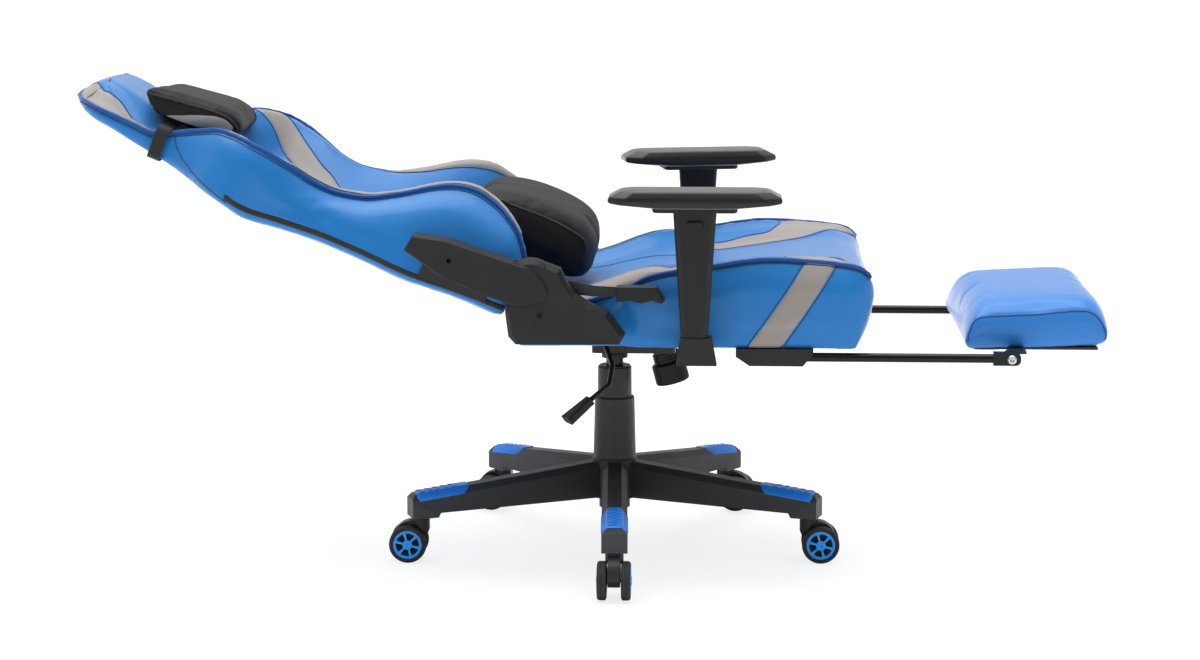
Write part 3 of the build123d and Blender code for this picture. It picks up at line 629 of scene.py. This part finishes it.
back_centre = reader([
    (20, -14), (120, -22), (353, -42), (480, -37), (560, -33), (600, -24), (625, -14), (660, 0),
    (700, 10), (735, 13), (752, 9), (766, 0), (777, -12), (785, -26),
])


back_crown = reader([(20, 2), (370, 2), (440, -2), (620, -2), (785, -1)])
hip_strip = reader([(20, 24), (100, 25), (150, 28), (200, 28), (250, 25), (300, 16), (330, 10), (424, 7)])


def back_ring(u):
    """The back's cross-section u millimetres above its hinge; its flanks lean in toward the front."""
    half, edge, rear, centre = back_half(u), back_edge(u), back_rear(u), back_centre(u)
    ridge, crown = back_ridge(u), back_crown(u)
    depth = ridge - rear
    wing = min(1.0, half / 240)
    points = [
        (0, rear), (half - 40 * wing, rear), (half - 9 * wing, rear + min(1, 0.2 * depth)),
        (half - 2, rear + min(6, 0.3 * depth)), (half, rear + min(24, 0.6 * depth)),
        (0.55 * half + 0.45 * edge + 3, rear + 0.72 * depth), (edge + 4, ridge - min(8, 0.25 * depth)),
        (edge - 1, ridge - 1), (edge - 9, ridge + crown), (edge - 22 * wing, ridge + crown - 1),
        (edge - 52 * wing, 0.62 * ridge + 0.38 * centre), (edge - 84 * wing, 0.15 * ridge + 0.85 * centre),
        (edge - 108 * wing, centre), (0.2 * edge, centre), (0, centre),
    ]
    return mirrored_ring(points, 64, lambda y, v: back_point(u * MM, y * MM, v * MM))


def make_back():
    """Blue winged back with grey bands, piping round its edge, side seams and a zipper strip; dark cords
    paint the shade along the seams and under the piping.
    """
    stations = list(np.linspace(20, 738, 88)) + [745, 752, 759, 765, 770, 775, 779, 782, 785]
    back = loft("back_cover", [back_ring(u) for u in stations], "blue", None)
    simulate(back, cap=0.0035, voxel=0.005, pressure=4.0)
    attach(back, "back")
    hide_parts("back_cushion")
    tree = surface_of(back)
    for side, sign in SIDES:
        def face(points):
            return [back_point(u * MM, sign * y * MM, 0.1) for u, y in points]

        head_out = [
            (625, 147), (650, 142), (675, 139), (703, 136), (730, 129), (750, 114), (766, 92), (778, 60),
        ]
        head_in = [
            (625, 141), (642, 138), (670, 128), (685, 118), (701, 107), (726, 95), (742, 84), (772, 34),
        ]
        shoulder_out = [
            (500, 203), (468, 186), (431, 156), (399, 129), (370, 110), (340, 78), (318, 42), (306, 4),
        ]
        shoulder_in = [
            (542, 168), (494, 154), (450, 128), (415, 103), (385, 76), (362, 48), (348, 22), (342, 4),
        ]
        low_out = [(u, back_edge(u) - 3) for u in range(424, 24, -20)]
        low_in = [(u, back_edge(u) - hip_strip(u)) for u in range(424, 24, -20)]
        for label, outer, inner in (
            ("head", head_out, head_in), ("shoulder", shoulder_out, shoulder_in), ("hip", low_out, low_in),
        ):
            edge_out, edge_in = face(outer), face(inner)
            panel(f"back_band_{label}_{side}", edge_out, edge_in, tree, -BACK_V, "grey", "back", 110)
            # Dark cords along both edges of each grey band paint the shade in its seams.
            for which, edge in (("outer", edge_out), ("inner", edge_in)):
                seam = laid_line(tree, edge, 220, -BACK_V, 0.0002)
                tube(f"back_seam_{label}_{which}_{side}", seam, 0.0008, "seam", "back", 6)
        line = face([(739, 78), (698, 122), (665, 138), (640, 142)])
        stitches(f"back_head_stitches_{side}", tree, line, "thread", "back", direction=-BACK_V)
        # A dark cord along each side seam paints the shade in the seam.
        flank = [(601, -15), (588, -31), (570, -43), (547, -52), (517, -60), (492, -65), (479, -68)]
        seam_line = [back_point(u * MM, sign * 0.26, v * MM) for u, v in flank]
        inward = Vector((0, -sign, 0))
        tube(
            f"back_flank_seam_shade_{side}", laid_line(tree, seam_line, 80, inward, 0.0002), 0.0008, "seam",
            "back", 6,
        )
        strip_a, strip_b = [
            [back_point(u * MM, sign * 0.27, (back_rear(u) + rise) * MM) for u in range(25, 486, 23)]
            for rise in (9, 20)
        ]
        panel(f"back_zipper_{side}", strip_a, strip_b, tree, inward, "strap", "back", 90, 8, 0.0016)
        middle = [(Vector(a) + Vector(b)) / 2 for a, b in zip(strip_a, strip_b)]
        stitches(
            f"back_zipper_teeth_{side}", tree, middle, "black_thread", "back", 0.003, 0.0017, 0.0006, inward,
        )
    levels = (
        22, 43, 64, 86, 111, 133, 159, 183, 205, 227, 255, 283, 308, 327, 348, 377, 404, 440, 470, 493, 517,
        539, 560, 582, 604, 620, 640, 667, 700, 730, 750, 765, 776, 782,
    )
    # The piping, then a thin dark cord just outside and below it that paints the piping's shadow.
    for name, out, drop_v, radius, lift, material in (
        ("back_piping", 0, 0, 0.0034, 0.0016, "piping"), ("back_piping_shadow", 4, 6, 0.0008, 0.0002, "seam"),
    ):
        route = [(u + out * (u > 770), back_edge(u) + out + 2, back_ridge(u) - drop_v - 2) for u in levels]
        right = [back_point(u * MM, -y * MM, v * MM) for u, y, v in route]
        left = [back_point(u * MM, y * MM, v * MM) for u, y, v in reversed(route)]
        around = right + [back_point((785 + out) * MM, 0, (-24 - drop_v) * MM)] + left
        tube(name, laid_line(tree, around, 640, None, lift), radius, material, "back")
    return back


def pillow(name, outline, half_width, body, node, material, cap, squeeze=0.84, skew=0.0, tilt=0.0):
    """A stuffed pillow: the closed (u, v) outline swept across the back and pinched at both ends."""
    closed = smooth_line(outline + outline[:1], 72)[:-1]
    middle = closed.mean(axis=0)
    head, foot = closed[:, 0].max(), closed[:, 0].min()
    rings = []
    for t in np.linspace(-1, 1, 41):
        pinch = squeeze + (1 - squeeze) * (1 - abs(t) ** 7)
        ring = middle + (closed - middle) * pinch
        rings.append([
            back_point(
                (u + skew * t * (head - u) / (head - foot)) * MM, t * half_width * MM, (v - tilt * t) * MM,
            )
            for u, v in ring
        ])
    piece = loft(name, rings, material, None)
    simulate(piece, cap=cap, voxel=0.005, pressure=4.0)
    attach(piece, body)
    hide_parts(node)
    return piece


LUMBAR = [(-82, 30), (-72, 11), (-50, 8), (60, 8), (126, 10), (140, 36), (120, 80), (40, 99), (-52, 87)]
HEADREST = [
    (520, 1), (580, -3), (646, -2), (660, 8), (675, 27), (655, 31), (600, 38), (555, 42), (530, 39),
    (512, 25),
]


def make_pillows():
    """Black lumbar pillow and black headrest pillow with grey side gussets, with their piping."""
    lumbar = pillow("lumbar_cover", LUMBAR, 141, "lumbar_pillow", "lumbar_pillow", "black", 0.004)
    tree = surface_of(lumbar)
    for side, sign in SIDES:
        seam = [(128, 70), (96, 84), (73, 82), (28, 83), (-17, 81), (-53, 74), (-74, 60)]
        line = [back_point(u * MM, sign * 0.139, v * MM) for u, v in seam]
        path = laid_line(tree, line, 160, None, 0.0008)
        tube(f"lumbar_piping_{side}", path, 0.0016, "black_thread", "lumbar_pillow", 8)
    head = pillow("headrest_cover", HEADREST, 137, "back", "headrest_pillow", "black", 0.004, 0.93, 9, 8)
    tree = surface_of(head)
    for side, sign in SIDES:
        inward = Vector((0, -sign, 0))
        upper = ((628, 0), (608, 9), (592, 17), (575, 24), (560, 29), (546, 30), (538, 27), (530, 22))
        lower = ((626, -1), (606, -2), (590, -2), (572, -1), (557, 0), (545, 2), (537, 7), (530, 14))
        skew, tilt, head, length = 9, 8, 675, 163
        top, low = [
            [
                back_point((u + sign * skew * (head - u) / length) * MM, sign * 0.15, (v - sign * tilt) * MM)
                for u, v in edge
            ]
            for edge in (upper, lower)
        ]
        panel(f"headrest_gusset_{side}", top, low, tree, inward, "grey", "back", 40)
        line = [back_point(u * MM, sign * 0.136, v * MM) for u, v in HEADREST[3:] + HEADREST[:1]]
        path = laid_line(tree, line, 140, None, 0.0008)
        tube(f"headrest_piping_{side}", path, 0.0015, "black_thread", "back", 8)


foot_top = reader([
    (545, 380), (549, 392), (553, 403), (558, 413), (564, 422), (572, 429), (582, 434), (605, 437),
    (668, 440), (720, 442), (745, 439), (757, 430), (765, 415), (769, 397),
])
foot_low = reader([
    (545, 368), (547, 363), (552, 360), (634, 361), (716, 365), (760, 369), (766, 373), (769, 382),
])
foot_seam = reader([
    (545, 375), (549, 386), (553, 396), (559, 407), (580, 414), (632, 417), (691, 422), (720, 424),
    (741, 421), (756, 410), (766, 394), (769, 388),
])


def foot_ring(x):
    """The footrest pad's cross-section at x millimetres."""
    top, low, seam = foot_top(x), foot_low(x), foot_seam(x)
    half = [
        (0, low), (160, low), (184, low + 1), (191, low + 0.25 * (seam - low)), (194, (low + seam) / 2),
        (192, seam - 2), (188, seam), (174, 0.5 * seam + 0.5 * top), (150, 0.18 * seam + 0.82 * top),
        (110, 0.04 * seam + 0.96 * top),
        (50, top), (0, top),
    ]
    return mirrored_ring(half, 48, lambda y, z: Vector((x, y, z)) * MM)


def make_footrest():
    """Blue footrest pad with a welted seam round its sides; a dark cord paints the shade along the seam."""
    stations = [545, 547, 550, 554] + list(np.linspace(560, 750, 36)) + [756, 761, 765, 767, 769]
    pad = loft("footrest_cover", [foot_ring(x) for x in stations], "footrest", None)
    simulate(pad, cap=0.004, voxel=0.005, pressure=4.0)
    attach(pad, "footrest")
    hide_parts("footrest_pad")
    tree = surface_of(pad)
    for side, sign in SIDES:
        route = [
            (551, 374), (551, 391), (560, 408), (580, 414), (632, 417), (691, 422), (720, 424), (741, 421),
            (755, 408), (763, 386), (763, 374),
        ]
        # A dark cord along the welt paints the shade in the seam.
        line = [(x * MM, sign * 0.190, z * MM) for x, z in route]
        path = laid_line(tree, line, 160, None, 0.0003)
        tube(f"footrest_seam_shade_{side}", path, 0.0008, "seam", "footrest", 6)
        inset = [(x, y - sign * 0.006, z + 0.003) for x, y, z in line[3:-3]]
        stitches(f"footrest_stitches_{side}", tree, inset, "thread", "footrest")
    return pad


# ---------------------------------------------------------------- arm pads
def make_arm_pads():
    """Faceted soft arm pads that thin out toward both tips."""
    right_low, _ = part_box("arm_pad_right")
    left_turn = Matrix.Rotation(math.radians(12), 4, "Z")
    for side, sign in SIDES:
        pivot = Vector(JOINTS[f"arm_{side}_pad_swivel"]["pos_m"])
        low = right_low[2]

        def underside(x):
            return 0.0070 * max(0, abs(x) - 0.055) / 0.075

        rings = []
        for length, width, corner, height in (
            (248, 68, 10, 0.0), (258, 82, 14, 0.0025), (261, 86, 18, 0.0095), (258, 85, 18, 0.0165),
            (226, 76, 15, 0.0250), (214, 70, 13, 0.0262),
        ):
            a, b = length / 2 * MM, width / 2 * MM
            cut = corner * MM
            outline = [
                (a, -b + cut), (a, b - cut), (a - 1.4 * cut, b), (0.055, b), (-0.055, b), (-a + 1.4 * cut, b),
                (-a, b - cut), (-a, -b + cut), (-a + 1.4 * cut, -b), (-0.055, -b), (0.055, -b),
                (a - 1.4 * cut, -b),
            ]
            keep = max(0, 1 - height / 0.0135)
            ring = [Vector((x, y, low + height + keep * underside(x) - pivot.z)) for x, y in outline]
            if sign > 0:
                ring = [left_turn @ p for p in ring]
            rings.append([pivot + p for p in ring])
        pad = loft(f"arm_pad_{side}_skin", rings, "pad", None)
        add_modifier(pad, "BEVEL", width=0.0022, segments=3, limit_method="ANGLE", angle_limit=0.35)
        bake(pad)
        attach(pad, f"arm_pad_{side}")
        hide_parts(f"arm_pad_{side}")


# ---------------------------------------------------------------- wheels and base trim
def spoked_cap(name, centre, axis, body):
    """Blue wheel cap: a rim, a domed hub and six tapering spokes."""
    axis = Vector(axis).normalized()
    across = axis.orthogonal().normalized()
    other = axis.cross(across)

    def at(angle, radius, depth):
        return centre + axis * depth + (across * math.cos(angle) + other * math.sin(angle)) * radius

    vertices, faces = [], []

    def ring_band(profile, steps=72):
        start, size = len(vertices), len(profile)
        for i in range(steps):
            vertices.extend(at(2 * math.pi * i / steps, r, d) for r, d in profile)
        for i in range(steps):
            for j in range(size - 1):
                a, b = start + i * size + j, start + ((i + 1) % steps) * size + j
                faces.append((a, b, b + 1, a + 1))

    ring_band([
        (0.0228, 0.0225), (0.0228, 0.0252), (0.0220, 0.0258), (0.0196, 0.0258), (0.0186, 0.0250),
        (0.0186, 0.0225),
    ])
    ring_band([
        (0.0078, 0.0225), (0.0078, 0.0262), (0.0066, 0.0270), (0.0030, 0.0272), (0.0022, 0.0262),
        (0.0, 0.0262),
    ])
    for k in range(6):
        angle = 2 * math.pi * k / 6
        start = len(vertices)
        for radius, width in ((0.0070, 0.26), (0.0100, 0.17), (0.0150, 0.135), (0.0192, 0.15)):
            high = 0.0262 - 0.0006 * (radius - 0.007) / 0.012
            for turn, depth in ((-width, 0.0225), (-width * 0.8, high), (width * 0.8, high), (width, 0.0225)):
                vertices.append(at(angle + turn, radius, depth))
        for i in range(3):
            for j in range(3):
                a = start + i * 4 + j
                faces.append((a, a + 1, a + 5, a + 4))
    return mesh_piece(name, vertices, faces, "cap", body, smooth=False)


def make_wheels():
    """Twin castor wheels: soft treaded tyre, dark disc and blue spoked cap."""
    tyre_profile = [
        (0.0112, 0.0040), (0.0112, 0.0262), (0.0120, 0.0286), (0.0140, 0.0299), (0.0178, 0.0300),
        (0.0183, 0.0294), (0.0188, 0.0300), (0.0225, 0.0298), (0.0247, 0.0284), (0.0256, 0.0262),
        (0.0254, 0.0240), (0.0246, 0.0230), (0.0222, 0.0229), (0.0218, 0.0040), (0.0112, 0.0040),
    ]
    for index in range(5):
        for side, sign in (("left", 1), ("right", -1)):
            joint = JOINTS[f"castor_{index}_{side}_roll"]
            centre, axis = Vector(joint["pos_m"]), Vector(joint["axis"]) * sign
            body = f"castor_{index}_{side}"
            tyre = lathe(f"castor_{index}_{side}_tyre", tyre_profile, centre, axis, "tyre", body)
            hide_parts(f"castor_{index}_wheel_{side}")
            spoked_cap(f"castor_{index}_{side}_cap", centre, axis, body)


def make_base_inserts():
    """Blue saddles over the arm ends, each with a raised chevron pattern."""
    slope = (146 - 109) / (338 - 20)
    for index in range(5):
        swivel = Vector(JOINTS[f"castor_{index}_swivel"]["pos_m"])
        out = Vector((swivel.x, swivel.y, 0)).normalized()
        across = Vector((-out.y, out.x, 0))

        def at(r, y, lift):
            return out * r * MM + across * y * MM + UP * (146 - slope * (r - 20) + lift) * MM

        rings = []
        taper = (248, 7), (250, 3), (255, 0.8), (262, 0), (300, 0), (328, 0), (333, 0.6), (335, 1.6)
        for r, narrow in taper:
            half = 20.9 - 1.1 * narrow
            flat = 11.2 - 0.6 * narrow
            high = 1.9 - (1.4 if r in (248, 335) else 0)
            rings.append([
                at(r, -half, -9.9), at(r, -flat - 5, -9.9 * 0.5 + high * 0.6), at(r, -flat, high),
                at(r, 0, high + 0.2),
                at(r, flat, high), at(r, flat + 5, -9.9 * 0.5 + high * 0.6), at(r, half, -9.9),
                at(r, half - 1.6, -9.4), at(r, flat - 0.6, 0.1), at(r, -flat + 0.6, 0.1),
                at(r, -half + 1.6, -9.4),
            ])
        saddle = loft(f"arm_insert_{index}", rings, "insert", "base")
        add_modifier(saddle, "BEVEL", width=0.0006, segments=2, limit_method="ANGLE", angle_limit=0.5)
        for number in range(5):
            start = 264 + 13 * number
            bars = []
            for y, lag in ((-10.5, 9), (-5, 4.5), (0, 0), (5, 4.5), (10.5, 9)):
                section = (0, 1.6), (1.2, 2.9), (5, 2.9), (6.4, 1.6)
                bars.append([at(start + lag + d, y, h) for d, h in section])
            mesh = loft(f"arm_insert_{index}_rib_{number}", bars, "insert", "base")
    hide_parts("base_inserts")


def screw(name, centre, axis, radius, body):
    """A button-head screw with a round socket recess."""
    profile = [
        (-0.002, 0.0), (-0.002, radius), (0.0006, radius), (0.0018, radius * 0.8),
        (0.0022, radius * 0.5), (0.0022, radius * 0.42), (0.0004, radius * 0.4), (0.0004, 0.0),
    ]
    return lathe(name, profile, centre, axis, "black_steel", body, 48)


def make_screws():
    """Socket screws in the hinge covers and the footrest's pivots."""
    for side, sign in SIDES:
        out = Vector((0, sign, 0))
        screw(f"lower_cover_screw_{side}", Vector((-0.103, sign * 0.2865, 0.427)), out, 0.0034, "seat")
        upper = back_point(0.128, sign * 0.2865, -0.011)
        screw(f"upper_cover_screw_{side}", upper, out, 0.0034, "back")
        pivot = Vector(JOINTS["footrest_flip"]["pos_m"])
        head = lathe(
            f"footrest_pivot_head_{side}",
            [
                (0, 0), (0, 0.0068), (0.0016, 0.0068), (0.0032, 0.0052), (0.0035, 0.0034), (0.0012, 0.0032),
                (0.0012, 0),
            ],
            Vector((pivot.x, sign * 0.2443, pivot.z)), out, "steel", "footrest_rails", 48,
        )


# ---------------------------------------------------------------- camera, light and floor
def make_stage():
    """Pale floor, soft studio light and the camera."""
    data = bpy.data.cameras.new("camera")
    data.lens = 83.27
    data.sensor_width = 36
    camera = bpy.data.objects.new("camera", data)
    camera.location = (0.166, -4.4217, 1.1036)
    camera.rotation_euler = (math.radians(90 - 9.583), 0, math.radians(2.460))
    bpy.context.scene.collection.objects.link(camera)
    bpy.context.scene.camera = camera
    bpy.context.scene.view_settings.view_transform = "Standard"
    world = bpy.data.worlds.new("studio")
    world.use_nodes = True
    tree = world.node_tree
    white = tree.nodes["Background"]
    white.inputs["Color"].default_value = (1, 1, 1, 1)
    direction = add_node(tree, "ShaderNodeTexCoord").outputs["Generated"]
    parts = add_node(tree, "ShaderNodeSeparateXYZ", {"Vector": direction})
    above = add_node(
        tree, "ShaderNodeMapRange", {"Value": parts.outputs["Z"], "From Min": 0.1, "From Max": 0.75}
    )
    behind = add_node(
        tree, "ShaderNodeMapRange", {"Value": parts.outputs["Y"], "From Min": 0.0, "From Max": 0.6}
    )
    brightest = add_node(
        tree, "ShaderNodeMath", {0: above.outputs["Result"], 1: behind.outputs["Result"]},
        operation="MAXIMUM",
    )
    level = add_node(
        tree, "ShaderNodeMapRange",
        {"Value": brightest.outputs["Value"], "To Min": 0.1, "To Max": 1.0},
    )
    soft = add_node(tree, "ShaderNodeBackground", {"Strength": level.outputs["Result"]})
    seen = add_node(tree, "ShaderNodeLightPath").outputs["Is Camera Ray"]
    shown = add_node(
        tree, "ShaderNodeMixShader", {0: seen, 1: soft.outputs["Background"], 2: white.outputs["Background"]}
    )
    tree.links.new(shown.outputs["Shader"], tree.nodes["World Output"].inputs["Surface"])
    bpy.context.scene.world = world
    lights = ("key", (-0.35, 0.35, 1.8), 2.6, 55), ("fill", (0.5, -0.2, 1.9), 0.5, 40)
    for name, place, power, spread in lights:
        light = bpy.data.lights.new(name, "SUN")
        light.energy = power
        light.angle = math.radians(spread)
        lamp = bpy.data.objects.new(name, light)
        lamp.location = place
        lamp.rotation_euler = Vector(place).to_track_quat("Z", "Y").to_euler()
        bpy.context.scene.collection.objects.link(lamp)
    mesh = bpy.data.meshes.new("floor")
    reach = 30
    corners = [(x * reach, y * reach, -0.0005) for x, y in ((-1, -1), (1, -1), (1, 1), (-1, 1))]
    mesh.from_pydata(corners, [], [(0, 1, 2, 3)])
    floor = bpy.data.objects.new("floor", mesh)
    bpy.context.scene.collection.objects.link(floor)
    material, tree, shader = new_material("floor_white", (0.93, 0.93, 0.93), 0.9)
    coords = add_node(tree, "ShaderNodeTexCoord").outputs["Object"]
    varied_color(tree, shader, coords, (0.93, 0.93, 0.93), 0.8, 0.02)
    glow = add_node(tree, "ShaderNodeEmission", {"Strength": 1.1})
    seen = add_node(tree, "ShaderNodeLightPath").outputs["Is Camera Ray"]
    share = add_node(tree, "ShaderNodeMath", {0: seen, 1: 0.72}, operation="MULTIPLY")
    lit = add_node(
        tree, "ShaderNodeMixShader",
        {0: share.outputs["Value"], 1: shader.outputs["BSDF"], 2: glow.outputs["Emission"]},
    )
    tree.links.new(lit.outputs["Shader"], tree.nodes["Material Output"].inputs["Surface"])
    mesh.materials.append(material)


make_stage()
make_seat()
make_back()
make_pillows()
make_footrest()
make_arm_pads()
make_wheels()
make_base_inserts()
make_screws()
